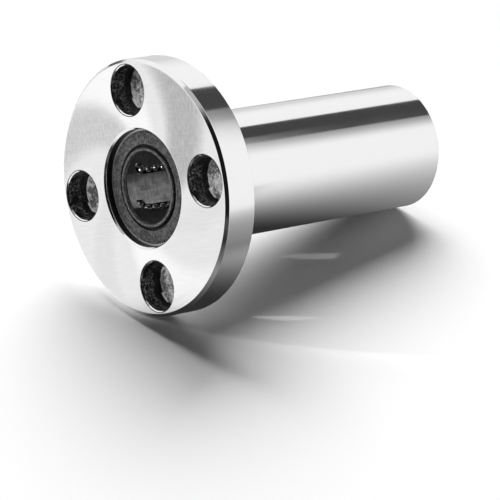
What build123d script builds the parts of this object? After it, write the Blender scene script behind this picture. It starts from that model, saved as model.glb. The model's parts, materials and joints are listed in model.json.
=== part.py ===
from build123d import *
from itertools import combinations
from math import atan2, cos, degrees, hypot, pi, radians, sin, sqrt
import os

os.makedirs("parts", exist_ok=True)

# Flanged linear ball bushing, long type, for a 12 mm shaft.
# The bore runs along Y. The origin is the centre of the bolt circle on the flange's seating face,
# -Y is the flange's open front, +Y is the tail, and the four bolt holes lie on the X and Z axes.
# All sizes are in millimetres.

# Shaft, balls and how they run
shaft_radius = 6.0
shaft_clearance = 0.02
ball_diameter = 1.5
ball_gap = 0.06
balls_in_straight = 8
balls_in_turn = 4
circuit_count = 6
circuit_angle = 33.5
raceway_clearance = 0.01
relief_clearance = 0.1

# Raceway lands, the ribs inside the sleeve that carry the loaded rows
land_width = 2.4
land_root = 0.3

# Ball cage
cage_shaft_gap = 0.2
cage_sleeve_gap = 0.08
cage_float = 0.1
cage_end_wall = 0.5
nose_wall = 0.45
nose_seal_gap = 0.05
groove_clearance = 0.06
slot_grip = 0.11
floor_clearance = 0.05
key_clearance = 0.08

# Seals and side rings at both ends
seal_recess = 1.2
seal_thickness = 0.8
seal_fit = 0.02
lip_clear = 0.03
lip_wall = 0.45
lip_proud = 0.2
lip_land = 0.6
lip_flare = 0.3
moat_width = 0.6
moat_depth = 0.5
moat_slope = 0.08
ring_thickness = 0.4
ring_rim_width = 0.45
ring_rim_setback = 0.2
ring_nose_gap = 0.15
ring_fit = 0.05

# Sleeve and flange
overall_length = 57.0
flange_thickness = 6.0
sleeve_wall = 1.8
seat_step = 0.9
bolt_count = 4
bolt_hole_radius = 2.25
head_recess_radius = 4.0
head_recess_depth = 4.1
wall_to_body = 1.5
wall_to_rim = 1.0
rim_front_chamfer = 0.5
rim_back_chamfer = 0.3
tail_chamfer = 0.5
mouth_chamfer = 0.3
recess_chamfer = 0.25

# Two sizes this close are taken as the same one where an edge is looked up by its radius
size_tolerance = 0.001

# Sizes that follow from the ones above
ball_radius = ball_diameter / 2
ball_pitch = ball_diameter + ball_gap
turn_radius = balls_in_turn * ball_pitch / pi
straight = balls_in_straight * ball_pitch
load_radius = shaft_radius + shaft_clearance + ball_radius
raceway_radius = load_radius + ball_radius + raceway_clearance
return_radius = hypot(load_radius, 2 * turn_radius)
relief_radius = round(return_radius + ball_radius + relief_clearance, 2)
seat_radius = relief_radius + seat_step
body_radius = relief_radius + sleeve_wall
bolt_circle_radius = body_radius + wall_to_body + head_recess_radius
flange_radius = bolt_circle_radius + head_recess_radius + wall_to_rim

cage_bore = shaft_radius + cage_shaft_gap
cage_radius = relief_radius - cage_sleeve_gap
groove_half_width = ball_radius + groove_clearance
slot_half_width = ball_radius - slot_grip
floor_level = load_radius - ball_radius - floor_clearance
groove_draft = degrees(atan2(groove_half_width - slot_half_width, load_radius - floor_level))
key_level = sqrt(raceway_radius**2 - (land_width / 2) ** 2) - key_clearance
cage_length = straight + 2 * (turn_radius + groove_half_width + cage_end_wall)

front_face = -flange_thickness
tail_face = overall_length - flange_thickness
seal_back_depth = seal_recess + seal_thickness
seat_depth = seal_back_depth + ring_thickness
pocket_depth = seat_depth + cage_length + cage_float
cage_middle_depth = seat_depth + cage_length / 2
nose_radius = cage_bore + nose_wall
ring_outer_radius = seat_radius - ring_fit
ring_rim_radius = ring_outer_radius - ring_rim_width
lip_radius = shaft_radius + lip_clear

# Each end of the sleeve: where its face is and which way is inward along Y. The tail's set of pieces is
# the front's turned end for end.
ends = {
    "front": {"face": front_face, "inward": 1},
    "rear": {"face": tail_face, "inward": -1},
}


def depth_to_y(end, depth):
    return end["face"] + end["inward"] * depth


def circuit_planes(end):
    # One plane for each circuit: local x inward along the bore, local z straight out through the loaded
    # row, and the return row on the side of local -y
    middle = depth_to_y(end, cage_middle_depth)
    for index in range(circuit_count):
        angle = radians(end["inward"] * (circuit_angle + 360 / circuit_count * index))
        outward = (cos(angle), 0, sin(angle))
        yield Plane(origin=(0, middle, 0), x_dir=(0, end["inward"], 0), z_dir=outward)


def circles_of(part, radius):
    # The circular edges of one radius, in order along the bore
    circles = part.edges().filter_by(GeomType.CIRCLE)
    return circles.filter_by(lambda edge: abs(edge.radius - radius) < size_tolerance).sort_by(Axis.Y)


def turned_ring(end, outline):
    # A ring turned about the bore from (radius, depth below the end face) points
    with BuildPart() as ring:
        with BuildSketch(Plane.XY):
            with BuildLine():
                Polyline(*[(radius, depth_to_y(end, depth)) for radius, depth in outline], close=True)
            make_face()
        revolve(axis=Axis.Y)
    return ring


# The sleeve, its flange and its raceway lands are one hardened and ground piece of steel
with BuildPart() as flanged_sleeve:
    with BuildSketch(Plane.XY):
        with BuildLine():
            Polyline(
                (seat_radius, front_face),
                (flange_radius, front_face),
                (flange_radius, 0),
                (body_radius, 0),
                (body_radius, tail_face),
                (seat_radius, tail_face),
                (seat_radius, tail_face - seat_depth),
                (relief_radius, tail_face - seat_depth),
                (relief_radius, tail_face - pocket_depth),
                (raceway_radius, tail_face - pocket_depth),
                (raceway_radius, front_face + pocket_depth),
                (relief_radius, front_face + pocket_depth),
                (relief_radius, front_face + seat_depth),
                (seat_radius, front_face + seat_depth),
                close=True,
            )
        make_face()
    revolve(axis=Axis.Y)
    chamfer(circles_of(flanged_sleeve, flange_radius)[0], rim_front_chamfer)
    chamfer(circles_of(flanged_sleeve, flange_radius)[-1], rim_back_chamfer)
    chamfer(circles_of(flanged_sleeve, body_radius)[-1], tail_chamfer)
    mouths = circles_of(flanged_sleeve, seat_radius)
    chamfer([mouths[0], mouths[-1]], mouth_chamfer)

    # Bolt holes with recesses for the screw heads, drilled from the flange's front
    with Locations(Plane.XZ.offset(-front_face)):
        with PolarLocations(bolt_circle_radius, bolt_count):
            CounterBoreHole(bolt_hole_radius, head_recess_radius, head_recess_depth, flange_thickness)
    chamfer(circles_of(flanged_sleeve, head_recess_radius)[:bolt_count], recess_chamfer)

    # Raceway lands over the straight of each loaded row
    for end in ends.values():
        with BuildSketch(Plane.XZ.offset(straight / 2 - depth_to_y(end, cage_middle_depth))):
            with PolarLocations(0, circuit_count, start_angle=end["inward"] * circuit_angle):
                with Locations(((relief_radius + land_root) / 2, 0)):
                    Rectangle(relief_radius + land_root, land_width)
            Circle(raceway_radius, mode=Mode.SUBTRACT)
        extrude(amount=-straight)
flanged_sleeve.part.label = "flanged_sleeve"
export_step(flanged_sleeve.part, "parts/flanged_sleeve.step")


def ball_cage(end):
    # A moulded cage with one drafted racetrack groove for each circuit. The groove clears the balls at
    # their middles and is narrower than a ball at its floor, which breaks into the bore along the loaded
    # row. So the balls reach the shaft through a slot that they can't fall out of. A thin nose at the open
    # end fills the side ring's hole up to the seal.
    outline = [
        (cage_bore, seal_back_depth + nose_seal_gap),
        (nose_radius, seal_back_depth + nose_seal_gap),
        (nose_radius, seat_depth),
        (cage_radius, seat_depth),
        (cage_radius, seat_depth + cage_length),
        (cage_bore, seat_depth + cage_length),
    ]
    blank = turned_ring(end, outline)
    with BuildPart() as cage:
        add(blank.part)
        for plane in circuit_planes(end):
            with BuildSketch(plane.offset(floor_level)):
                with Locations((0, -turn_radius)):
                    SlotCenterToCenter(straight, 2 * (turn_radius + slot_half_width))
                    SlotCenterToCenter(straight, 2 * (turn_radius - slot_half_width), mode=Mode.SUBTRACT)
            extrude(amount=cage_radius - floor_level, taper=-groove_draft, mode=Mode.SUBTRACT)
            # An open keyway lets the cage slide in over the raceway land
            with BuildSketch(plane.offset(key_level)):
                Rectangle(cage_length, land_width + 2 * key_clearance)
            extrude(amount=cage_radius - key_level, mode=Mode.SUBTRACT)
    return cage


front_cage = ball_cage(ends["front"])
front_cage.part.label = "front_cage"
export_step(front_cage.part, "parts/front_cage.step")

rear_cage = ball_cage(ends["rear"])
rear_cage.part.label = "rear_cage"
export_step(rear_cage.part, "parts/rear_cage.step")


def faceted_ball():
    # A steel ball drawn as the icosahedron inside its sphere, which keeps hundreds of balls light.
    # Neighbouring corners are 2 apart before scaling, and all others at least 2 * golden.
    golden = (1 + sqrt(5)) / 2
    neighbour_reach = 1 + golden
    corners = []
    for short in (-1, 1):
        for long in (-golden, golden):
            corners += [Vector(0, short, long), Vector(short, long, 0), Vector(long, 0, short)]
    scale_to_ball = ball_radius / hypot(1, golden)
    faces = []
    for trio in combinations(corners, 3):
        if all((first - second).length < neighbour_reach for first, second in combinations(trio, 2)):
            faces.append(Face(Wire.make_polygon([corner * scale_to_ball for corner in trio])))
    return Solid(Shell(faces))


def row_places(across):
    # Centres of one straight row of balls in a circuit's plane
    return [((index + 0.5) * ball_pitch - straight / 2, across) for index in range(balls_in_straight)]


def turn_places(direction):
    # Centres of the balls in one turn: direction is 1 at the inner end of the circuit, -1 at the outer
    places = []
    for index in range(balls_in_turn):
        angle = (index + 0.5) * pi / balls_in_turn
        along = direction * (straight / 2 + turn_radius * sin(angle))
        places.append((along, turn_radius * cos(angle) - turn_radius))
    return places


def ball_group(planes, places):
    with BuildPart() as group:
        for plane in planes:
            with Locations(plane.offset(load_radius)):
                with Locations(*places):
                    add(ball)
    return group


ball = faceted_ball()
for end_name, end in ends.items():
    planes = list(circuit_planes(end))
    groups = {
        "load_balls": ball_group(planes, row_places(0)),
        "return_balls": ball_group(planes, row_places(-2 * turn_radius)),
    }
    for number, plane in enumerate(planes, 1):
        groups[f"outer_turn_{number}"] = ball_group([plane], turn_places(-1))
        groups[f"inner_turn_{number}"] = ball_group([plane], turn_places(1))
    for group_name, group in groups.items():
        group.part.label = f"{end_name}_{group_name}"
        export_step(group.part, f"parts/{end_name}_{group_name}.step")


def side_ring(end):
    # A stamped steel ring that bears on the seat's shoulder and keeps the cage in. Its rim stands round
    # the seal, a little behind the seal's face.
    inner = nose_radius + ring_nose_gap
    rim_front = seal_recess + ring_rim_setback
    outline = [
        (inner, seal_back_depth),
        (ring_rim_radius, seal_back_depth),
        (ring_rim_radius, rim_front),
        (ring_outer_radius, rim_front),
        (ring_outer_radius, seat_depth),
        (inner, seat_depth),
    ]
    return turned_ring(end, outline)


def lip_seal(end):
    # A rubber seal with a moat around the raised ring that ends in the wiping lip
    outer = ring_rim_radius - seal_fit
    lip_top = seal_recess - lip_proud
    lip_outer = lip_radius + lip_wall
    moat_floor = seal_recess + moat_depth
    outline = [
        (lip_radius, lip_top),
        (lip_outer, lip_top),
        (lip_outer + moat_slope, moat_floor),
        (lip_outer + moat_width - moat_slope, moat_floor),
        (lip_outer + moat_width, seal_recess),
        (outer, seal_recess),
        (outer, seal_back_depth),
        (lip_radius + lip_flare, seal_back_depth),
        (lip_radius, lip_top + lip_land),
    ]
    return turned_ring(end, outline)


front_side_ring = side_ring(ends["front"])
front_side_ring.part.label = "front_side_ring"
export_step(front_side_ring.part, "parts/front_side_ring.step")

rear_side_ring = side_ring(ends["rear"])
rear_side_ring.part.label = "rear_side_ring"
export_step(rear_side_ring.part, "parts/rear_side_ring.step")

front_seal = lip_seal(ends["front"])
front_seal.part.label = "front_seal"
export_step(front_seal.part, "parts/front_seal.step")

rear_seal = lip_seal(ends["rear"])
rear_seal.part.label = "rear_seal"
export_step(rear_seal.part, "parts/rear_seal.step")
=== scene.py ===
import json
from math import cos, radians, sin

import bmesh
import bpy
import numpy as np
from mathutils import Matrix, Vector


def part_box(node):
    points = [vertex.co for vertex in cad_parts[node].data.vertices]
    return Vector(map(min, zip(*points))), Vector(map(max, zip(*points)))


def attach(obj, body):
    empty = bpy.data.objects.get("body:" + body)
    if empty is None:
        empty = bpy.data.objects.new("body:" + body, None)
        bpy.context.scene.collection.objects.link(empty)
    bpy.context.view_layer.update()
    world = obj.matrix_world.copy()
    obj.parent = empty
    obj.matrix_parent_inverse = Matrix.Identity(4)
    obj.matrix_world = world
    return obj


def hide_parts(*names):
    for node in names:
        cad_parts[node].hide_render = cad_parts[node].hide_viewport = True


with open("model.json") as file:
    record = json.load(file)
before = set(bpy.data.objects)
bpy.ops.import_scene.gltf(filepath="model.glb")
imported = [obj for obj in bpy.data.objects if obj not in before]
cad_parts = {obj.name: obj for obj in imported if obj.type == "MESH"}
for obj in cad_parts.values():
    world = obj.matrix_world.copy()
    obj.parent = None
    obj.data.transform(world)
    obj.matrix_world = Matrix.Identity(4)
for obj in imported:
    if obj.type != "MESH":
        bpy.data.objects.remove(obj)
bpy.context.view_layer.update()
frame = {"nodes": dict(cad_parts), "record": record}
mm = 0.001
boreAxis = (0.0, 1.0, 0.0)
mounts = {mount["name"]: mount for mount in frame["record"]["mounts"]}
print("frame loaded:", len(frame["nodes"]), "nodes")


class Wire:
    # A value in a node tree. Sums, products and comparisons written with it add the Math nodes that do them.
    def __init__(self, recipe, socket):
        self.recipe = recipe
        self.socket = socket

    def maths(self, operation, *terms):
        return self.recipe.add("ShaderNodeMath", {"operation": operation}, dict(enumerate(terms)))

    def __add__(self, other):
        return self.maths("ADD", self, other)

    def __radd__(self, other):
        return self.maths("ADD", other, self)

    def __sub__(self, other):
        return self.maths("SUBTRACT", self, other)

    def __rsub__(self, other):
        return self.maths("SUBTRACT", other, self)

    def __mul__(self, other):
        return self.maths("MULTIPLY", self, other)

    def __rmul__(self, other):
        return self.maths("MULTIPLY", other, self)

    def __truediv__(self, other):
        return self.maths("DIVIDE", self, other)

    def __rtruediv__(self, other):
        return self.maths("DIVIDE", other, self)

    def __pow__(self, other):
        return self.maths("POWER", self, other)

    def __gt__(self, other):
        return self.maths("GREATER_THAN", self, other)

    def __lt__(self, other):
        return self.maths("LESS_THAN", self, other)


class Recipe:
    # The node tree of one material or world
    def __init__(self, tree):
        self.tree = tree
        self.tree.nodes.clear()

    def add(self, kind, settings=(), inputs=(), output=0):
        # A node of this kind: its settings first, then values or links for its sockets
        node = self.tree.nodes.new(kind)
        for name, value in dict(settings).items():
            setattr(node, name, value)
        for name, value in dict(inputs).items():
            if isinstance(value, Wire):
                self.tree.links.new(value.socket, node.inputs[name])
            else:
                node.inputs[name].default_value = value
        return Wire(self, node.outputs[output]) if node.outputs else None

    def parts(self, vector):
        # The x, y and z of a vector
        split = self.add("ShaderNodeSeparateXYZ", inputs={0: vector}).socket.node
        return [Wire(self, socket) for socket in split.outputs]

    def joined(self, x, y, z):
        return self.add("ShaderNodeCombineXYZ", inputs={0: x, 1: y, 2: z})

    def vector(self, operation, *terms, output=0):
        return self.add("ShaderNodeVectorMath", {"operation": operation}, dict(enumerate(terms)), output)

    def scaled(self, vector, factor):
        return self.add("ShaderNodeVectorMath", {"operation": "SCALE"}, {0: vector, "Scale": factor})

    def mixed(self, factor, first, second):
        # Colour first where the factor is 0, second where it is 1
        return self.add("ShaderNodeMix", {"data_type": "RGBA"}, {0: factor, 6: first, 7: second}, 2)

    def smooth(self, value, low, high, toLow=0.0, toHigh=1.0):
        # An eased step from toLow at low to toHigh at high
        return self.add("ShaderNodeMapRange", {"interpolation_type": "SMOOTHSTEP"},
                        {0: value, 1: low, 2: high, 3: toLow, 4: toHigh})

    def noise(self, place, scale, detail, roughness=0.5):
        # The scale is one number, or one each for x, y and z, which stretches the noise
        if isinstance(scale, tuple):
            place, scale = self.vector("MULTIPLY", place, scale), 1.0
        return self.add("ShaderNodeTexNoise", inputs={"Vector": place, "Scale": scale,
                                                      "Detail": detail, "Roughness": roughness})

    def lineNoise(self, along, scale, detail):
        # Noise that changes with one number alone, which makes parallel lines or rings
        return self.add("ShaderNodeTexNoise", {"noise_dimensions": "1D"},
                        {"W": along * scale, "Scale": 1.0, "Detail": detail})

    def bump(self, height, strength, distance):
        return self.add("ShaderNodeBump", inputs={"Height": height, "Strength": strength,
                                                  "Distance": distance})


def grey(level, tint=(1.0, 1.0, 1.0)):
    # A colour of this brightness, with its red, green and blue each multiplied by the tint
    return (level * tint[0], level * tint[1], level * tint[2], 1.0)


def newMaterial(name):
    material = bpy.data.materials.new(name)
    material.use_nodes = True
    return material, Recipe(material.node_tree)


def newFinish(name, shaderInputs):
    # A material with one Principled shader. shaderInputs takes the recipe and gives the shader's sockets.
    material, recipe = newMaterial(name)
    shader = recipe.add("ShaderNodeBsdfPrincipled", inputs=shaderInputs(recipe))
    recipe.add("ShaderNodeOutputMaterial", inputs={"Surface": shader})
    return material


def onObject(recipe):
    # A point's place on the object, whole and as its x, y and z
    place = recipe.add("ShaderNodeTexCoord", output="Object")
    return place, *recipe.parts(place)


def fromAxis(x, z):
    # Distance from the bore's axis
    return (x * x + z * z) ** 0.5


def leaned(recipe, direction, slope):
    # The surface's normal leaned along a direction by a slope
    normal = recipe.add("ShaderNodeNewGeometry", output="Normal")
    lean = recipe.scaled(direction, slope)
    return recipe.vector("NORMALIZE", recipe.vector("ADD", normal, lean))


# In these looks a noise is (scale or scales, detail, roughness), and lines or rings are (scale, detail).
# Edges are the values between which a noise turns from dark to pale. A bump is (strength, height in metres).
groundSteelLook = {
    "colour": grey(0.87, (1.0, 1.0, 1.01)),
    "paleColour": grey(0.89, (1.0, 1.0, 1.005)),
    "cloud": (180.0, 3.0),
    "roughness": 0.07,
    "roughnessSpread": 0.05,
    "grindingLines": (24000.0, 3.0),
    "grindingSlope": 0.02,
}


def groundSteelInputs(recipe):
    # Fine grinding lines run round the bore, so the normal leans along it
    look = groundSteelLook
    place, _, along, _ = onObject(recipe)
    lines = recipe.lineNoise(along, *look["grindingLines"])
    cloud = recipe.noise(place, *look["cloud"])
    return {
        "Base Color": recipe.mixed(cloud, look["colour"], look["paleColour"]),
        "Metallic": 1.0,
        "Roughness": look["roughness"] + look["roughnessSpread"] * cloud,
        "Normal": leaned(recipe, boreAxis, (lines - 0.5) * look["grindingSlope"]),
    }


def sector(recipe, outward, middle, halfWidth, softness):
    # 1 within an angle of a direction round the bore, easing to 0 past it. All in degrees from +X toward +Z.
    ray = (cos(radians(middle)), 0.0, sin(radians(middle)))
    nearness = recipe.vector("DOT_PRODUCT", outward, ray, output="Value")
    return recipe.smooth(nearness, cos(radians(halfWidth + softness)), cos(radians(halfWidth - softness)))


turnedFaceLook = {
    "level": 0.84,
    "roughness": 0.26,
    "roughnessSpread": 0.06,
    "rings": (9000.0, 4.0),
    "ringSlope": 0.2,
    "ringContrast": 0.08,
    "marks": ((2600.0, 3.0, 3.0), 3.0),      # the scale outward, then the scales round the bore
    "markSlope": 0.16,
    "hairs": ((260.0, 0.0, 3600.0), 3.0, 0.65),
    "hairContrast": 0.18,
    "streaks": ((3200.0, 0.0, 700.0), 4.0, 0.65),
    "streakContrast": 0.5,
    "streakedBelow": -0.1,    # fans darker than this are streaked
    # The turning marks' sheen, painted into the colour as paler and darker fans: (direction in degrees, half
    # width, softness, how much paler)
    "fans": [(-65, 17, 11, 0.16), (112, 13, 11, 0.16), (50, 18, 11, -0.34), (151, 13, 11, -0.21),
             (-128, 9, 8, -0.06), (-3, 9, 8, -0.04)],
    "fanTwist": 3.3,          # degrees that the fans turn for each millimetre nearer the bore
    "twistFrom": 20.0,        # millimetres from the bore's axis where they point as listed
}


def turnedFaceInputs(recipe):
    # Turning rings: the normal leans in and out by a slope that changes with the distance from the bore.
    # Their sheen is also painted into the colour as fans that curl round the bore: each point looks at the
    # fans turned by its twist.
    look = turnedFaceLook
    place, x, _, z = onObject(recipe)
    reach = fromAxis(x, z)
    twist = (look["twistFrom"] - reach * (1 / mm)) * radians(look["fanTwist"])
    turnX, turnZ = twist.maths("COSINE", twist), twist.maths("SINE", twist)
    twisted = recipe.joined((x * turnX - z * turnZ) / reach, 0.0, (x * turnZ + z * turnX) / reach)
    rings = recipe.lineNoise(reach, *look["rings"])
    marks = recipe.noise(recipe.joined(reach, x / reach, z / reach), *look["marks"])
    hairs = recipe.noise(place, *look["hairs"])
    streaks = recipe.noise(place, *look["streaks"])
    slope = (rings - 0.5) * look["ringSlope"] + (marks - 0.5) * look["markSlope"]
    level = look["level"] + (rings - 0.5) * look["ringContrast"] + (hairs - 0.5) * look["hairContrast"]
    # painted sheen: each fan makes the colour paler or darker, as light off the turning marks would
    for middle, halfWidth, softness, paler in look["fans"]:
        paintedSheen = sector(recipe, twisted, middle, halfWidth, softness)
        contrast = look["streakContrast"] if paler < look["streakedBelow"] else 0.0
        level = level + paintedSheen * (paler + (streaks - 0.5) * contrast)
    return {
        "Base Color": recipe.mixed(level, grey(0.0), grey(1.0)),
        "Metallic": 1.0,
        "Roughness": look["roughness"] + look["roughnessSpread"] * marks,
        "Normal": leaned(recipe, recipe.joined(x / reach, 0.0, z / reach), slope),
    }


recessLook = {
    # painted shade: the recess's walls are coloured near black
    "colour": grey(0.006),
    "markColour": grey(0.5),
    "ledgeColour": grey(0.62),
    "burrColour": grey(0.95),
    "chatter": ((300.0, 2600.0, 300.0), 4.0, 0.6),
    "chatterShare": 0.6,      # how much of the blotches' colour the chatter marks take away
    "grains": (2300.0, 4.0, 0.7),
    "grainEdges": (0.44, 0.64),
    "patches": (420.0, 2.0),
    "patchEdges": (0.36, 0.6),
    "blotchFrom": -2.9,       # millimetres along the bore, where the blotches are faint
    "blotchTo": -4.1,         # and where they are full
    "blotchFaint": 0.12,
    "wornEdges": (0.15, 0.85, 0.15, 1.0),     # for the mottled painted light on the ledge, then how bright it is at either
    "ledgeFrom": -2.0,        # millimetres along the bore: where the recess's wall gives way to its ledge
    "ledgeTo": -1.92,
    "burrFrom": -2.3,         # a painted glint in that corner, this far along the bore
    "burrHeight": (-3.1, -2.9, -1.6, -1.2),   # and this far above the hole's middle
    "metallic": 0.7,
    "ledgeMetallic": 0.2,
    "roughness": 0.36,
    "roughnessSpread": 0.2,
    "bump": (0.8, 0.0001),
}


def recessInputs(recipe):
    # Walls painted near-black as the recess's shade, with chatter marks round the hole and mottled blotches of
    # painted light near the mouth
    look = recessLook
    place, x, along, z = onObject(recipe)
    chatter = recipe.noise(place, *look["chatter"])
    grains = recipe.smooth(recipe.noise(place, *look["grains"]), *look["grainEdges"])
    patches = recipe.smooth(recipe.noise(place, *look["patches"]), *look["patchEdges"])
    litNearMouth = recipe.smooth(along, look["blotchFrom"] * mm, look["blotchTo"] * mm, look["blotchFaint"])
    litBlotch = grains * patches * litNearMouth
    ledge = recipe.smooth(along, look["ledgeFrom"] * mm, look["ledgeTo"] * mm)
    # painted light, mottled, on the ledge and on the bolt hole's wall beyond it
    litLedge = ledge * recipe.smooth(0.5 * grains + 0.5 * patches, *look["wornEdges"])
    # height above the middle of the nearest bolt hole
    upright = z.maths("ABSOLUTE", z) > x.maths("ABSOLUTE", x)
    above = z - z.maths("SIGN", z) * upright * (mounts["flange_bolts"]["dims"]["pcd_mm"] / 2 * mm)
    low, lowSoft, highSoft, high = look["burrHeight"]
    # painted glint: a bright line where the recess's wall meets its ledge
    paintedGlint = recipe.smooth(above, low * mm, lowSoft * mm) * recipe.smooth(above, high * mm, highSoft * mm)
    paintedGlint = paintedGlint * (along > look["burrFrom"] * mm) * (along < look["ledgeTo"] * mm)
    share = look["chatterShare"]
    marked = recipe.mixed(litBlotch * (1 - share + share * chatter), look["colour"], look["markColour"])
    marked = recipe.mixed(litLedge, marked, look["ledgeColour"])
    return {
        "Base Color": recipe.mixed(paintedGlint, marked, look["burrColour"]),
        "Metallic": look["metallic"] - (look["metallic"] - look["ledgeMetallic"]) * ledge,
        "Roughness": look["roughness"] + look["roughnessSpread"] * chatter,
        "Normal": recipe.bump(chatter + litBlotch, *look["bump"]),
    }


boreSteelLook = {
    # painted shade: the bore's steel is coloured near black
    "colour": grey(0.03),
    "paleColour": grey(0.08),
    "stain": (260.0, 3.0),
    "roughness": 0.34,
    "roughnessSpread": 0.12,
    "lines": (9000.0, 3.0),
    "lineSlope": 0.12,
}


def boreSteelInputs(recipe):
    # Hardened inner surfaces, painted darker than the ground outside as the shade inside the bore
    look = boreSteelLook
    place, _, along, _ = onObject(recipe)
    lines = recipe.lineNoise(along, *look["lines"])
    stain = recipe.noise(place, *look["stain"])
    return {
        "Base Color": recipe.mixed(stain, look["colour"], look["paleColour"]),
        "Metallic": 1.0,
        "Roughness": look["roughness"] + look["roughnessSpread"] * stain,
        "Normal": leaned(recipe, boreAxis, (lines - 0.5) * look["lineSlope"]),
    }


rubberLook = {
    "colour": grey(0.008, (1.0, 1.0, 1.03)),
    "paleColour": grey(0.075, (1.0, 1.0, 1.03)),
    "moatColour": grey(0.002),
    "moat": (6.48, 7.06),     # millimetres from the bore's axis
    "moatBelow": 27.22,       # millimetres from the part's middle, where it sinks below the seal's face
    "grain": (2600.0, 4.0, 0.75),
    "flow": (700.0, 3.0, 0.6),
    "grainShare": 0.8,        # of the grain in the colour, with the flow marks for the rest
    "paleEdges": (0.42, 0.6),
    "roughness": 0.5,
    "roughnessSpread": 0.2,
    "moatRougher": 0.2,
    "specular": 0.4,
    "bump": (0.7, 0.00008),
}


def rubberInputs(recipe):
    # Moulded rubber: fine grain and faint flow marks, with the moat painted black as shade
    look = rubberLook
    place, x, along, z = onObject(recipe)
    reach = fromAxis(x, z)
    grain = recipe.noise(place, *look["grain"])
    flow = recipe.noise(place, *look["flow"])
    inner, outer = look["moat"]
    fromMiddle = along.maths("ABSOLUTE", along - mounts["shaft_bore"]["pos_m"][1])
    # painted shade: the moat between these radii is coloured near black
    moat = (reach > inner * mm) * (reach < outer * mm) * (fromMiddle < look["moatBelow"] * mm)
    share = look["grainShare"]
    pale = recipe.smooth(grain * share + flow * (1 - share), *look["paleEdges"])
    rubber = recipe.mixed(pale, look["colour"], look["paleColour"])
    return {
        "Base Color": recipe.mixed(moat, rubber, look["moatColour"]),
        "Roughness": look["roughness"] + look["roughnessSpread"] * grain + look["moatRougher"] * moat,
        "Specular IOR Level": look["specular"],
        "Normal": recipe.bump(grain, *look["bump"]),
    }


resinLook = {
    "colour": grey(0.008),
    "paleColour": grey(0.024),
    "rubbedColour": grey(0.3),
    "rubbedMiddle": 183.5,    # degrees from +X toward +Z: the middle of the painted light between two rows
    "rubbedHalfWidth": 26.5,
    "rubbedSoftness": 1.8,
    "rubbedDepth": 0.3,       # millimetres further out than the seal's lip
    "palestMiddle": 199.0,    # where the painted light is brightest, easing off to either side
    "palestSoftness": 20.0,
    "palestLeast": 0.16,      # what stays of the painted light at the sides
    "streaks": ((220.0, 3400.0, 220.0), 4.0, 0.6),
    "streakEdges": (0.35, 0.75),
    "scuffs": ((900.0, 500.0, 900.0), 4.0, 0.7),
    "cloud": (260.0, 1.0),
    "wearShares": (0.3, 0.5, 0.2),            # of the streaks, the scuffs and the cloud
    "wearEdges": (0.38, 0.58, 0.35, 1.0),     # for the mottle, then how strong the painted light is at either
    "roughness": 0.4,
    "roughnessSpread": 0.2,
    "bump": (0.5, 0.00004),
}


def resinInputs(recipe):
    # Black resin with streaks round the bore from its moulding core. One side, between two rows, is painted
    # pale as if lit.
    look = resinLook
    place, x, _, z = onObject(recipe)
    reach = fromAxis(x, z)
    outward = recipe.joined(x / reach, 0.0, z / reach)
    streaks = recipe.noise(place, *look["streaks"])
    scuffs = recipe.noise(place, *look["scuffs"])
    cloud = recipe.noise(place, *look["cloud"])
    # painted light: one sector between two rows is made pale and streaky, as light falling into the bore would
    litPanel = sector(recipe, outward, look["rubbedMiddle"], look["rubbedHalfWidth"], look["rubbedSoftness"])
    litPanel = litPanel * (reach < (mounts["shaft_bore"]["dims"]["r_mm"] + look["rubbedDepth"]) * mm)
    soft, least = look["palestSoftness"], look["palestLeast"]
    litPanel = litPanel * (least + (1 - least) * sector(recipe, outward, look["palestMiddle"], soft, soft))
    streakShare, scuffShare, cloudShare = look["wearShares"]
    mottle = streakShare * streaks + scuffShare * scuffs + cloudShare * cloud
    litPanel = litPanel * recipe.smooth(mottle, *look["wearEdges"])
    black = recipe.mixed(recipe.smooth(streaks, *look["streakEdges"]), look["colour"], look["paleColour"])
    return {
        "Base Color": recipe.mixed(litPanel, black, look["rubbedColour"]),
        "Roughness": look["roughness"] + look["roughnessSpread"] * streaks,
        "Normal": recipe.bump(streaks, *look["bump"]),
    }


ballSteelLook = {
    "colour": grey(0.86),
    "paleColour": grey(0.94),
    "haze": (2500.0, 3.0),
    "roughness": 0.08,
    "roughnessSpread": 0.08,
}


def ballSteelInputs(recipe):
    # Polished, with a thin haze of oil
    look = ballSteelLook
    haze = recipe.noise(recipe.add("ShaderNodeTexCoord", output="Object"), *look["haze"])
    return {
        "Base Color": recipe.mixed(haze, look["colour"], look["paleColour"]),
        "Metallic": 1.0,
        "Roughness": look["roughness"] + look["roughnessSpread"] * haze,
    }


ringSteelLook = {
    "colour": grey(0.46),
    "paleColour": grey(0.6),
    "grain": ((400.0, 400.0, 6000.0), 3.0),
    "roughness": 0.3,
    "roughnessSpread": 0.15,
    "bump": (0.3, 0.00002),
}


def ringSteelInputs(recipe):
    # Stamped steel with a rolled grain
    look = ringSteelLook
    grain = recipe.noise(recipe.add("ShaderNodeTexCoord", output="Object"), *look["grain"])
    return {
        "Base Color": recipe.mixed(grain, look["colour"], look["paleColour"]),
        "Metallic": 1.0,
        "Roughness": look["roughness"] + look["roughnessSpread"] * grain,
        "Normal": recipe.bump(grain, *look["bump"]),
    }


groundSteel = newFinish("groundSteel", groundSteelInputs)
turnedFace = newFinish("turnedFace", turnedFaceInputs)
recessSteel = newFinish("recessSteel", recessInputs)
boreSteel = newFinish("boreSteel", boreSteelInputs)
sealRubber = newFinish("sealRubber", rubberInputs)
cageResin = newFinish("cageResin", resinInputs)
ballSteel = newFinish("ballSteel", ballSteelInputs)
ringSteel = newFinish("ringSteel", ringSteelInputs)
print("finishes made")


curveReach = 1.5    # how far past its ends a soft edge's curve gets one more point each, in setbacks


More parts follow.
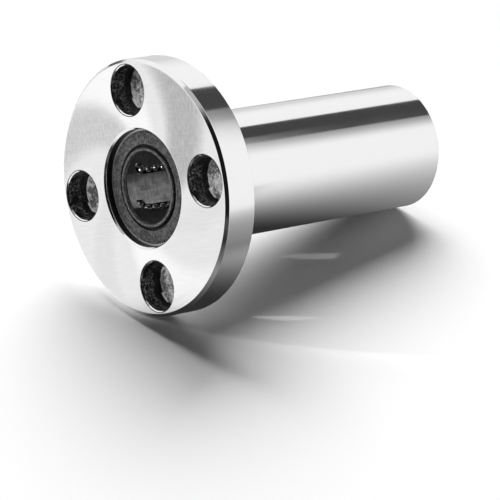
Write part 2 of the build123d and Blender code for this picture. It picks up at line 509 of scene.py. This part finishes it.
def softLine(corners, steps=4):
    # A line through (radius, along, setback) corners. Each corner with a setback becomes a curve that starts
    # and ends that far from it: corner + back * (1 - s)^2 + ahead * s^2, with a point just outside each end.
    line = []
    share = np.linspace(0.0, 1.0, steps + 1)[:, None]
    for index, (radius, along, setback) in enumerate(corners):
        corner = np.array([radius, along])
        if setback == 0:
            line.append(corner[None])
            continue
        back = np.array(corners[index - 1][:2]) - corner
        ahead = np.array(corners[index + 1][:2]) - corner
        back = back / np.hypot(*back) * setback
        ahead = ahead / np.hypot(*ahead) * setback
        curve = corner + back * (1 - share) ** 2 + ahead * share ** 2
        line += [corner + curveReach * back[None], curve, corner + curveReach * ahead[None]]
    return np.concatenate(line)


def spun(line, angles):
    # A profile carried round the bore: (radius * cos, along, radius * sin) for every angle
    radius, along = line[:, 0:1], line[:, 1:2]
    return np.stack([radius * np.cos(angles), along + 0 * angles, radius * np.sin(angles)], axis=-1)


def gridFaces(rows, columns, wrapRows, wrapColumns):
    # The four corners of every cell of a grid of points, numbered row by row
    row = np.arange(rows if wrapRows else rows - 1)[:, None]
    column = np.arange(columns if wrapColumns else columns - 1)[None, :]
    nextRow = (row + 1) % rows
    nextColumn = (column + 1) % columns
    cell = [row * columns + column, row * columns + nextColumn,
            nextRow * columns + nextColumn, nextRow * columns + column]
    return np.stack(cell, axis=-1).reshape(-1, 4)


def shapeFromGrids(name, grids, finishes, sharpAbove=28.0, weld=2e-4):
    # One mesh from several grids of points in millimetres, each (points, wrapRows, wrapColumns, slot).
    # Points closer than weld, in millimetres, become one, and edges above sharpAbove degrees stay sharp.
    points, faces, slots, start = [], [], [], 0
    for grid, wrapRows, wrapColumns, slot in grids:
        rows, columns = grid.shape[:2]
        cells = gridFaces(rows, columns, wrapRows, wrapColumns)
        points.append(grid.reshape(-1, 3))
        faces.append(cells + start)
        slots.append(np.full(len(cells), slot))
        start += rows * columns
    mesh = bpy.data.meshes.new(name)
    mesh.from_pydata(np.concatenate(points) * mm, [], np.concatenate(faces).tolist())
    mesh.polygons.foreach_set("material_index", np.concatenate(slots).astype(np.int32))
    return tidied(name, mesh, finishes, sharpAbove, weld)


smallestEdge = 1e-9     # metres: what is shorter is no edge


def tidied(name, mesh, finishes, sharpAbove, weld):
    # A new piece of the scene with this mesh: welded, its faces turned outward and shaded smooth
    shape = bmesh.new()
    shape.from_mesh(mesh)
    bmesh.ops.remove_doubles(shape, verts=shape.verts, dist=weld * mm)
    bmesh.ops.dissolve_degenerate(shape, edges=shape.edges, dist=smallestEdge)
    bmesh.ops.recalc_face_normals(shape, faces=shape.faces)
    openEdges = sum(not edge.is_manifold for edge in shape.edges)
    shape.to_mesh(mesh)
    shape.free()
    mesh.polygons.foreach_set("use_smooth", np.ones(len(mesh.polygons), bool))
    mesh.set_sharp_from_angle(angle=radians(sharpAbove))
    for finish in finishes:
        mesh.materials.append(finish)
    piece = bpy.data.objects.new(name, mesh)
    bpy.context.scene.collection.objects.link(piece)
    print(name, len(mesh.polygons), "faces, open edges", openEdges)
    return piece


sleeveShape = {
    "stations": 384,          # points round the bore
    "sideSteps": 24,          # points along a quarter's straight sides
    "flatSteps": 5,           # points from a quarter's border to its hole
    "joinWidth": 0.1,         # millimetres of flat beside an edge, where profiles and quarters join
    "rimFrontChamfer": 0.5,
    "rimBackChamfer": 0.3,
    "tailChamfer": 0.5,
    "tailSoftness": 0.03,     # the flat ring between the tail's two chamfers is only 0.1 wide
    "mouthChamfer": 0.3,
    "seatWall": 0.9,          # from the seat to the body's outside
    "reliefStep": 0.9,
    "racewayRadius": 7.53,
    "landHalfWidth": 1.2,
    "lands": 6,
    "landAngle": 33.5,
    "landLength": 12.48,
    "landStep": 0.02,         # how soon a land rises at its ends
    "cageFloat": 0.1,
    "recessRadius": 4.0,
    "recessDepth": 4.1,
    "recessChamfer": 0.25,
    "holeChamfer": 0.15,
    "edgeSoftness": 0.05,
}


def sleeveSizes():
    # Sizes that the frame gives, in millimetres: the flange, the body, both end faces, the bolt circle, and
    # how deep the seat, the lands' middle and the cage's pocket lie below an end face
    low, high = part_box("flanged_sleeve")
    bolts = mounts["flange_bolts"]["dims"]
    rowLow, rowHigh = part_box("front_load_balls")
    return {
        "rim": high.x / mm,
        "body": mounts["housing_pilot"]["dims"]["r_mm"],
        "front": low.y / mm,
        "tail": high.y / mm,
        "boltCircle": bolts["pcd_mm"] / 2,
        "boltHole": bolts["hole_r_mm"],
        "seatDepth": (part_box("front_side_ring")[1].y - low.y) / mm,
        "landMiddle": ((rowLow.y + rowHigh.y) / 2 - low.y) / mm,
        "pocketDepth": (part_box("front_cage")[1].y - low.y) / mm + sleeveShape["cageFloat"],
    }


def quarterBorder(inner, outer, middle, stations, sideSteps):
    # The border of a quarter of a flat ring, as (x, z): outer arc, side inwards, inner arc back, side out
    arc = np.linspace(-0.25 * np.pi, 0.25 * np.pi, stations // 4 + 1)[:-1]
    side = np.linspace(0.0, 1.0, sideSteps + 1)[:-1]
    angle = np.concatenate([arc, 0 * side + 0.25 * np.pi, -arc, 0 * side - 0.25 * np.pi]) + middle
    reach = np.concatenate([0 * arc + outer, outer + (inner - outer) * side,
                            0 * arc + inner, inner + (outer - inner) * side])
    return np.stack([reach * np.cos(angle), reach * np.sin(angle)], axis=-1)


def flatGrid(border, ring, along, steps):
    # Cells between a ring and a border, both (x, z), on the plane at one place along the bore
    share = np.linspace(0.0, 1.0, steps)[:, None, None]
    flat = border[None] * (1 - share) + ring[None] * share
    return np.stack([flat[..., 0], 0 * flat[..., 0] + along, flat[..., 1]], axis=-1)


def boltHoleGrids(quarter, size, shape, faceInner, faceOuter, backInner, backOuter):
    # One quarter of the flange: its front face round the recess, the recess and hole, and its back face
    middle = quarter * 0.5 * np.pi
    centre = size["boltCircle"] * np.array([np.cos(middle), np.sin(middle)])
    frontBorder = quarterBorder(faceInner, faceOuter, middle, shape["stations"], shape["sideSteps"])
    backBorder = quarterBorder(backInner, backOuter, middle, shape["stations"], shape["sideSteps"])
    spoke = frontBorder - centre
    spoke = spoke / np.hypot(spoke[:, 0], spoke[:, 1])[:, None]
    wide, depth, soft = shape["recessRadius"], shape["recessDepth"], shape["edgeSoftness"]
    cut, holeCut, join = shape["recessChamfer"], shape["holeChamfer"], shape["joinWidth"]
    front, narrow = size["front"], size["boltHole"]
    line = softLine([
        (wide + cut + join, front, 0),
        (wide + cut, front, soft),
        (wide, front + cut, soft),
        (wide, front + depth, soft),
        (narrow + holeCut, front + depth, soft),
        (narrow, front + depth + holeCut, soft),
        (narrow, 0.0, soft),
        (narrow + join, 0.0, 0),
    ])
    flat = centre + line[:, 0][:, None, None] * spoke[None]
    hole = np.stack([flat[..., 0], line[:, 1][:, None] + 0 * flat[..., 0], flat[..., 1]], axis=-1)
    # the mouth's edge takes the recess's painted shade, the chamfer inside it polished
    edgeEnd = int(np.argmax(line[:, 1] > front + soft))
    chamferEnd = int(np.argmax(line[:, 1] > front + cut - soft))
    return [
        (flatGrid(frontBorder, flat[0], front, shape["flatSteps"]), False, True, 1),
        (hole[:2], False, True, 1),
        (hole[1:edgeEnd + 1], False, True, 2),
        (hole[edgeEnd:chamferEnd + 1], False, True, 0),
        (hole[chamferEnd:], False, True, 2),
        (flatGrid(backBorder, flat[-1], 0.0, shape["flatSteps"]), False, True, 0),
    ]


def landDrop(line, angles, size, shape):
    # How far the raceway lands of each end stand in from the relieved wall, for every point of the grid
    near = 0.001     # millimetres
    drop = np.zeros((len(line), len(angles)))
    halfAngle = np.arcsin(shape["landHalfWidth"] / shape["racewayRadius"])
    relief = size["body"] - shape["seatWall"] - shape["reliefStep"]
    for face, inward in ((size["front"], 1), (size["tail"], -1)):
        middle = face + inward * size["landMiddle"]
        rows = np.abs(line[:, 1] - middle) < shape["landLength"] / 2 + near
        rows &= np.abs(line[:, 0] - relief) < near
        for index in range(shape["lands"]):
            row = radians(inward * (shape["landAngle"] + 360 / shape["lands"] * index))
            away = np.abs((angles - row + np.pi) % (2 * np.pi) - np.pi)
            drop[np.ix_(rows, away < halfAngle)] = relief - shape["racewayRadius"]
    return drop


def flangedSleeve():
    # The outside, tail and bore are profiles carried round the bore. The flange's faces are four quarters.
    size, shape = sleeveSizes(), sleeveShape
    angles = np.linspace(-0.25 * np.pi, 1.75 * np.pi, shape["stations"] + 1)[:-1]
    rim, body, front, tail = size["rim"], size["body"], size["front"], size["tail"]
    seat = body - shape["seatWall"]
    relief = seat - shape["reliefStep"]
    soft, tailSoft = shape["edgeSoftness"], shape["tailSoftness"]
    mouth, join = shape["mouthChamfer"], shape["joinWidth"]
    rimFront, rimBack = shape["rimFrontChamfer"], shape["rimBackChamfer"]
    seatFrom = mouth + curveReach * soft      # how far inside an end face the seat runs straight
    rimLine = softLine([
        (rim - rimFront - join, front, 0),
        (rim - rimFront, front, soft),
        (rim, front + rimFront, soft),
        (rim, -rimBack, soft),
        (rim - rimBack, 0.0, soft),
        (rim - rimBack - join, 0.0, 0),
    ])
    bodyLine = softLine([
        (body + join, 0.0, 0),
        (body, 0.0, soft),
        (body, tail - shape["tailChamfer"], soft),
        (body - shape["tailChamfer"], tail, tailSoft),
        (seat + mouth, tail, tailSoft),
        (seat, tail - mouth, soft),
        (seat, tail - seatFrom, 0),
    ])

    def pocket(face, inward):
        # From the seat at one end face to the wall between the two pockets
        deep, half, middle = size["pocketDepth"], shape["landLength"] / 2, size["landMiddle"]
        step = shape["landStep"]
        line = [(seat, face + inward * size["seatDepth"]), (relief, face + inward * size["seatDepth"])]
        for along in (middle - half - step, middle - half, middle + half, middle + half + step, deep):
            line.append((relief, face + inward * along))
        line.append((shape["racewayRadius"], face + inward * deep))
        return line

    boreLine = np.array([(seat, tail - seatFrom)] + pocket(tail, -1) + pocket(front, 1)[::-1]
                        + [(seat, front + seatFrom)])
    mouthLine = softLine([
        (seat, front + seatFrom, 0),
        (seat, front + mouth, soft),
        (seat + mouth, front, soft),
        (seat + mouth + join, front, 0),
    ])
    bore = spun(boreLine, angles)
    inset = 1 - landDrop(boreLine, angles, size, shape) / boreLine[:, 0:1]
    bore[..., 0] *= inset
    bore[..., 2] *= inset
    grids = [
        (spun(rimLine, angles), False, True, 0),
        (spun(bodyLine, angles), False, True, 0),
        (bore, False, True, 3),
        (spun(mouthLine, angles), False, True, 0),
    ]
    for quarter in range(4):
        grids += boltHoleGrids(quarter, size, shape, seat + mouth + join, rim - rimFront - join,
                               body + join, rim - rimBack - join)
    piece = shapeFromGrids("flangedSleeve", grids, [groundSteel, turnedFace, recessSteel, boreSteel])
    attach(piece, "shell")
    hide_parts("flanged_sleeve")


flangedSleeve()

sealShape = {
    "stations": 256,
    "lipWall": 0.45,
    "lipProud": 0.2,
    "lipLand": 0.6,
    "landPoints": (0.5, 0.7),     # shares of the land where the profile starts and ends
    "lipFlare": 0.3,
    "moatWidth": 0.6,
    "moatDepth": 0.5,
    "moatSlope": 0.08,
    "edgeSoftness": 0.05,
    "sharpAbove": 32.0,           # degrees
}


def lipSeal(node, pieceName):
    # The seal's outline carried round the bore: a raised lip ring, a moat round it and a flat outer ring
    low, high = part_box(node)
    shape = sealShape
    outer = high.x / mm
    lip = mounts["shaft_bore"]["dims"]["r_mm"]
    facesFront = low.y < 0
    outside = (low.y if facesFront else high.y) / mm
    inward = 1 if facesFront else -1
    thickness = (high.y - low.y) / mm - shape["lipProud"]
    soft = shape["edgeSoftness"]
    wall = lip + shape["lipWall"]
    moatEnd = wall + shape["moatWidth"]
    landStart, landEnd = shape["landPoints"]
    corners = [
        (lip, shape["lipLand"] * landStart, 0),
        (lip, 0.0, soft),
        (wall, 0.0, soft),
        (wall + shape["moatSlope"], shape["lipProud"] + shape["moatDepth"], soft),
        (moatEnd - shape["moatSlope"], shape["lipProud"] + shape["moatDepth"], soft),
        (moatEnd, shape["lipProud"], soft),
        (outer, shape["lipProud"], soft),
        (outer, shape["lipProud"] + thickness, soft),
        (lip + shape["lipFlare"], shape["lipProud"] + thickness, soft),
        (lip, shape["lipLand"], soft),
        (lip, shape["lipLand"] * landEnd, 0),
    ]
    line = softLine([(radius, outside + inward * along, setback) for radius, along, setback in corners])
    angles = np.linspace(0.0, 2 * np.pi, shape["stations"] + 1)[:-1]
    grids = [(spun(line, angles), True, True, 0)]
    piece = shapeFromGrids(pieceName, grids, [sealRubber], shape["sharpAbove"])
    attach(piece, "shell")
    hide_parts(node)


lipSeal("front_seal", "frontSeal")
lipSeal("rear_seal", "rearSeal")


def smoothedCopy(node, pieceName, finish, body, sharpAbove=30.0, weld=1e-3):
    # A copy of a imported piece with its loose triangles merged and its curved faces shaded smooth
    piece = tidied(pieceName, frame["nodes"][node].data.copy(), [], sharpAbove, weld)
    piece.data.materials.clear()
    piece.data.materials.append(finish)
    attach(piece, body)
    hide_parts(node)


smoothedCopy("front_cage", "frontCage", cageResin, "shell")
smoothedCopy("rear_cage", "rearCage", cageResin, "shell")
smoothedCopy("front_side_ring", "frontSideRing", ringSteel, "shell")
smoothedCopy("rear_side_ring", "rearSideRing", ringSteel, "shell")

ballShape = {
    "round": 12,
    "over": 8,
    "diameter": 1.5,
    "trianglesInFrame": 20,       # in each packed ball
    "sharpAbove": 60.0,           # degrees
}


def roundBalls(node, body):
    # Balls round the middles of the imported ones: centre + radius * (sin u cos v, cos u, sin u sin v)
    points = np.empty(len(frame["nodes"][node].data.vertices) * 3, np.float32)
    frame["nodes"][node].data.vertices.foreach_get("co", points)
    count = len(frame["nodes"][node].data.polygons) // ballShape["trianglesInFrame"]
    centres = points.reshape(count, -1, 3).mean(axis=1) / mm
    over = np.linspace(0.0, np.pi, ballShape["over"] + 1)[:, None]
    around = np.linspace(0.0, 2 * np.pi, ballShape["round"] + 1)[None, :-1]
    ball = np.stack([np.sin(over) * np.cos(around), np.cos(over) + 0 * around,
                     np.sin(over) * np.sin(around)], axis=-1)
    grids = [(centre + ball * ballShape["diameter"] / 2, False, True, 0) for centre in centres]
    pieceName = node.replace("_", " ").title().replace(" ", "")
    piece = shapeFromGrids(pieceName, grids, [ballSteel], ballShape["sharpAbove"])
    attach(piece, body)
    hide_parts(node)


for body, nodes in frame["record"]["behaviour"]["bodies"].items():
    for node in nodes:
        if node.endswith("_balls") or "_turn_" in node:
            roundBalls(node, body)
print("pieces made")


cameraRig = {
    "standsAt": (404.99, -325.8, 11.47),   # millimetres
    "looksAlong": (-0.76474, 0.64269, -0.04619),
    "upward": (0.06042, 0.1429, 0.98789),
    "lens": 230.4,
    "sensor": 36.0,
    "sees": (0.01, 20.0),                  # nearest and furthest, in metres
}


def placeCamera():
    # Gives the directions to the camera's right and straight ahead of it
    rig = cameraRig
    camera = bpy.data.objects.new("camera", bpy.data.cameras.new("camera"))
    bpy.context.scene.collection.objects.link(camera)
    back = -Vector(rig["looksAlong"]).normalized()
    right = Vector(rig["upward"]).cross(back).normalized()
    up = back.cross(right)
    turn = Matrix((right, up, back)).transposed()
    camera.matrix_world = Matrix.Translation(Vector(rig["standsAt"]) * mm) @ turn.to_4x4()
    camera.data.lens = rig["lens"]
    camera.data.sensor_width = rig["sensor"]
    camera.data.clip_start, camera.data.clip_end = rig["sees"]
    bpy.context.scene.camera = camera
    return right, -back


cameraRight, cameraForward = placeCamera()

studio = {
    "restsToward": -116.5,      # degrees from +X toward +Z: where the rim and the tail touch the floor
    "floorRadius": 1.6,         # metres
    "floorRings": 12,
    "floorStations": 72,
    "floorColour": grey(0.97),
    "ambient": 0.05,
    "sunLevel": 1.0,            # how brightly the sun alone lights the floor
    "sunSoftness": 52.0,        # degrees
    "sunTilt": 43.0,            # from straight overhead, away from the camera
    "sunTurn": 6.0,             # to the camera's left
    "mirroredGap": (49.5, 88.5),     # degrees round the bore: the dark gap between two overhead lights
    "gapEdge": 0.5,             # how soft the gap's edges are, in degrees
    "gapStep": 0.33,            # how much light comes back at once at its lower edge
    "mirroredRamp": 24.0,       # and where the rest is back
    "mirroredDark": 0.06,
    "gapSlant": 12.0,           # degrees that the gap's lower edge drops where only the rim mirrors it
    "gapSlantAt": (0.648, 0.645),
    "sideGap": 0.55,            # how dark the gap is beside and behind the camera, where 1 is as ahead of it
    "sideGapAt": (0.15, 0.3),
    "leftDimmer": (118.0, 175.0, 1.0, 0.4),      # degrees round the bore, then brightness there
    "leftCorner": (-0.9, 0.28, 0.28),            # a dark patch that only the flange's upper left edge mirrors
    "leftCornerDark": 0.06,
    "leftCornerEdges": (0.88, 0.93),             # cosines of the angle from its middle
    "leftCornerAhead": (0.56, 0.5),
    "behindCamera": (0.62, -0.78, 0.1),
    "behindEdges": (0.72, 0.88),
    "behindDark": 0.15,
}

# The floor as polished steel mirrors it: a pool of shade under the object. Distances are in millimetres from
# the rim's touch, along the bore and across it.
shadePool = {
    "dark": 0.03,
    "begins": 15.0,
    "fadesOver": 35.0,
    "alongShare": 0.5,          # how fast it fades along the bore, where 1 is as fast as across it
    "leftFactor": -6.0,         # how much faster it fades on the far side
    "leftReach": 6.0,
    "inFront": ((0.0, -5.0), (6.0, -6.0)),       # where there is no shade: ranges along and across
    "beyond": ((0.0, 30.0), (-5.0, -20.0)),      # the floor beyond the object, also as ranges
    "farSide": (-20.0, -120.0, 0.3, 0.72),       # from and to across there, then the brightness at either
    "flangeShade": 0.56,
    "flangeSlant": 1.05,        # how far out the flange's shade begins for each millimetre along the bore
    "flangeSlanted": (0.0, 14.0),
    "flangeBegins": (29.0, 42.0),
    "flangeEnds": (53.0, 150.0),
    "towardCamera": 0.93,
    "cameraSide": ((0.0, -60.0), (0.0, 20.0)),
}

lampRig = {
    "distance": 0.3,            # metres from the bore's mouth
    "radius": 0.003,
    "blend": 0.25,
    # Narrow lamps on the seal and into the bore: (name, direction, spread in millimetres, level, mirrored)
    "lamps": [
        ("sealLamp", (-0.45, -0.8, 0.42), 19.0, 0.45, False),
        ("boreLamp", (0.62, -0.75, 0.2), 19.0, 0.9, False),
        ("ballLamp", (-0.05, -0.95, 0.3), 5.6, 1.6, True),
        ("lowBallLamp", (0.45, -0.75, -0.48), 5.0, 1.6, True),
    ],
}


def floorPlane():
    # The floor touches the rim's back edge and the tail's edge. Gives the rim's touch and the floor's normal.
    size, shape = sleeveSizes(), sleeveShape
    rimEdge = (size["rim"], -shape["rimBackChamfer"])
    tailEdge = (size["body"], size["tail"] - shape["tailChamfer"])
    slope = np.arctan2(rimEdge[0] - tailEdge[0], tailEdge[1] - rimEdge[1])
    down = radians(studio["restsToward"])
    outward = Vector((cos(down), 0.0, sin(down)))
    normal = -(outward * cos(slope) + Vector((0.0, sin(slope), 0.0)))
    touch = (outward * rimEdge[0] + Vector((0.0, rimEdge[1], 0.0))) * mm
    return touch, normal


def mirroredFloor(recipe, touch, normal):
    # Brightness of the floor in mirror reflections: distance^2 / (distance^2 + fade^2) from the pool of shade
    pool = shadePool
    alongBore = (Vector(boreAxis) - normal * normal.y).normalized()
    acrossBore = alongBore.cross(normal)
    place = recipe.add("ShaderNodeTexCoord", output="Object")
    fromTouch = recipe.vector("SUBTRACT", place, tuple(touch))
    along = recipe.vector("DOT_PRODUCT", fromTouch, tuple(alongBore), output="Value") * (1 / mm)
    across = recipe.vector("DOT_PRODUCT", fromTouch, tuple(acrossBore), output="Value") * (1 / mm)

    def past(ranges):
        # 1 past both ranges, along and across
        return recipe.smooth(along, *ranges[0]) * recipe.smooth(across, *ranges[1])

    sideways = across.maths("MAXIMUM", across, (across + pool["leftReach"]) * pool["leftFactor"])
    away = sideways + along.maths("ABSOLUTE", along) * pool["alongShare"] - pool["begins"]
    away = away.maths("MAXIMUM", away, 0.0)
    light = pool["dark"] + (1 - pool["dark"]) * away * away / (away * away + pool["fadesOver"] ** 2)
    light = light + (1 - light) * past(pool["inFront"])
    light = light * (1 - past(pool["beyond"]) * (1 - recipe.smooth(across, *pool["farSide"])))
    # the flange's own shade, which only its rim mirrors, and the dark side behind the camera
    slanted = across - pool["flangeSlant"] * along
    beside = recipe.smooth(slanted, *pool["flangeSlanted"]) * recipe.smooth(across, *pool["flangeBegins"])
    beside = beside * recipe.smooth(across, *pool["flangeEnds"], 1.0, 0.0)
    light = light * (1 - pool["flangeShade"] * beside) * (1 - pool["towardCamera"] * past(pool["cameraSide"]))
    return recipe.mixed(light, grey(0.0), grey(1.0))


def paleFloor(touch, normal):
    # Matt to the eye, the shaded floor in mirror reflections, and clear from beneath
    material, recipe = newMaterial("paleFloor")
    matt = recipe.add("ShaderNodeBsdfDiffuse", inputs={"Color": studio["floorColour"]})
    mirrored = recipe.add("ShaderNodeEmission", inputs={"Color": mirroredFloor(recipe, touch, normal)})
    glossy = recipe.add("ShaderNodeLightPath", output="Is Glossy Ray")
    clear = recipe.add("ShaderNodeBsdfTransparent")
    beneath = recipe.add("ShaderNodeNewGeometry", output="Backfacing")
    above = recipe.add("ShaderNodeMixShader", inputs={0: glossy, 1: matt, 2: mirrored})
    shader = recipe.add("ShaderNodeMixShader", inputs={0: beneath, 1: above, 2: clear})
    recipe.add("ShaderNodeOutputMaterial", inputs={"Surface": shader})
    return material


def layFloor(touch, normal):
    # A disc: touch + reach * (cos * right + sin * ahead), seen through from beneath
    ahead = normal.cross(cameraRight).normalized()
    right = ahead.cross(normal)
    reach = np.linspace(0.0, 1.0, studio["floorRings"])[:, None] ** 2 * studio["floorRadius"]
    around = np.linspace(0.0, 2 * np.pi, studio["floorStations"] + 1)[None, :-1]
    points = (np.array(touch) + (reach * np.cos(around))[..., None] * np.array(right)
              + (reach * np.sin(around))[..., None] * np.array(ahead)) / mm
    floor = shapeFromGrids("floor", [(points, False, True, 0)], [])
    floor.data.materials.append(paleFloor(touch, normal))
    if floor.data.polygons[0].normal.dot(normal) < 0:
        floor.data.flip_normals()


def mirroredStudio(recipe):
    # What polished steel mirrors all round: white, with the dark gap between two soft lights overhead
    direction = recipe.add("ShaderNodeTexCoord", output="Generated")
    x, y, z = recipe.parts(direction)

    def nearness(place):
        # The cosine of the angle from the direction of a place
        return recipe.vector("DOT_PRODUCT", direction, tuple(Vector(place).normalized()), output="Value")

    low, high = studio["mirroredGap"]
    soft, step = studio["gapEdge"], studio["gapStep"]
    turn = z.maths("ARCTAN2", z, x) * (180 / np.pi)
    topEdge = recipe.smooth(turn, high - soft, high + soft)
    lowTurn = turn - recipe.smooth(y, *studio["gapSlantAt"], 0.0, studio["gapSlant"])
    lowEdge = recipe.smooth(lowTurn, low + 2 * soft, low, 0.0, step)
    lowEdge = lowEdge + recipe.smooth(lowTurn, low, studio["mirroredRamp"], 0.0, 1 - step)
    lit = topEdge.maths("MINIMUM", topEdge + lowEdge, 1.0)
    lit = lit * recipe.smooth(turn.maths("ABSOLUTE", turn), *studio["leftDimmer"])
    ahead = recipe.smooth(y, *studio["sideGapAt"], studio["sideGap"], 1.0)
    lit = 1 - ahead * (1 - lit)
    patch = recipe.smooth(nearness(studio["leftCorner"]), *studio["leftCornerEdges"])
    patch = patch * recipe.smooth(y, *studio["leftCornerAhead"])
    lit = lit * (1 - (1 - studio["leftCornerDark"]) * patch)
    behind = nearness(studio["behindCamera"])
    lit = lit * recipe.smooth(behind, *studio["behindEdges"], 1.0, 0.0)
    level = studio["mirroredDark"] + (1 - studio["mirroredDark"]) * lit
    return level * recipe.smooth(behind, *studio["behindEdges"], 1.0, studio["behindDark"])


def paintWorld():
    # White for the camera, the mirrored studio in reflections and a dim glow on all else
    world = bpy.data.worlds.new("studioWorld")
    bpy.context.scene.world = world
    world.use_nodes = True
    recipe = Recipe(world.node_tree)
    camera = recipe.add("ShaderNodeLightPath", output="Is Camera Ray")
    glossy = recipe.add("ShaderNodeLightPath", output="Is Glossy Ray")
    through = recipe.add("ShaderNodeLightPath", output="Is Transmission Ray")
    seen = camera.maths("MAXIMUM", camera, through)
    level = seen + (1 - seen) * (glossy * mirroredStudio(recipe) + (1 - glossy) * studio["ambient"])
    shown = recipe.mixed(level, grey(0.0), grey(1.0))
    background = recipe.add("ShaderNodeBackground", inputs={"Color": shown})
    recipe.add("ShaderNodeOutputWorld", inputs={"Surface": background})


def hangLamp(name, lamp, toward, place, mirrored):
    # The lamp shines back from toward. Only mirrored lamps show in polished steel.
    holder = bpy.data.objects.new(name, lamp)
    holder.location = place
    holder.rotation_mode = "QUATERNION"
    holder.rotation_quaternion = toward.to_track_quat("Z", "Y")
    holder.visible_glossy = mirrored
    bpy.context.scene.collection.objects.link(holder)


def hangSun(normal):
    # A soft sun from beyond the object lays its shadow toward the camera. A level of 1 shows white as white.
    sun = bpy.data.lights.new("sun", "SUN")
    sun.angle = radians(studio["sunSoftness"])
    tilt, turned = radians(studio["sunTilt"]), radians(studio["sunTurn"])
    ahead = normal.cross(cameraRight).normalized()
    if ahead.dot(cameraForward) < 0:
        ahead = -ahead
    toward = normal * cos(tilt) + (ahead * cos(turned) - cameraRight * sin(turned)) * sin(tilt)
    sun.energy = studio["sunLevel"] * np.pi / cos(tilt)
    hangLamp("sun", sun, toward, Vector(), False)


def hangNarrowLamps():
    # Each shines on the bore's mouth. A level of 1 shows white as white there.
    mouth = Vector((0.0, sleeveSizes()["front"] * mm, 0.0))
    distance = lampRig["distance"]
    for name, direction, spread, level, mirrored in lampRig["lamps"]:
        lamp = bpy.data.lights.new(name, "SPOT")
        lamp.spot_size = 2 * np.arctan(spread * mm / distance)
        lamp.spot_blend = lampRig["blend"]
        lamp.shadow_soft_size = lampRig["radius"]
        lamp.energy = level * 4 * np.pi ** 2 * distance ** 2
        toward = Vector(direction).normalized()
        hangLamp(name, lamp, toward, mouth + toward * distance, mirrored)


touch, floorNormal = floorPlane()
layFloor(touch, floorNormal)
paintWorld()
hangSun(floorNormal)
hangNarrowLamps()
bpy.context.scene.view_settings.view_transform = "Standard"
print("studio lit")
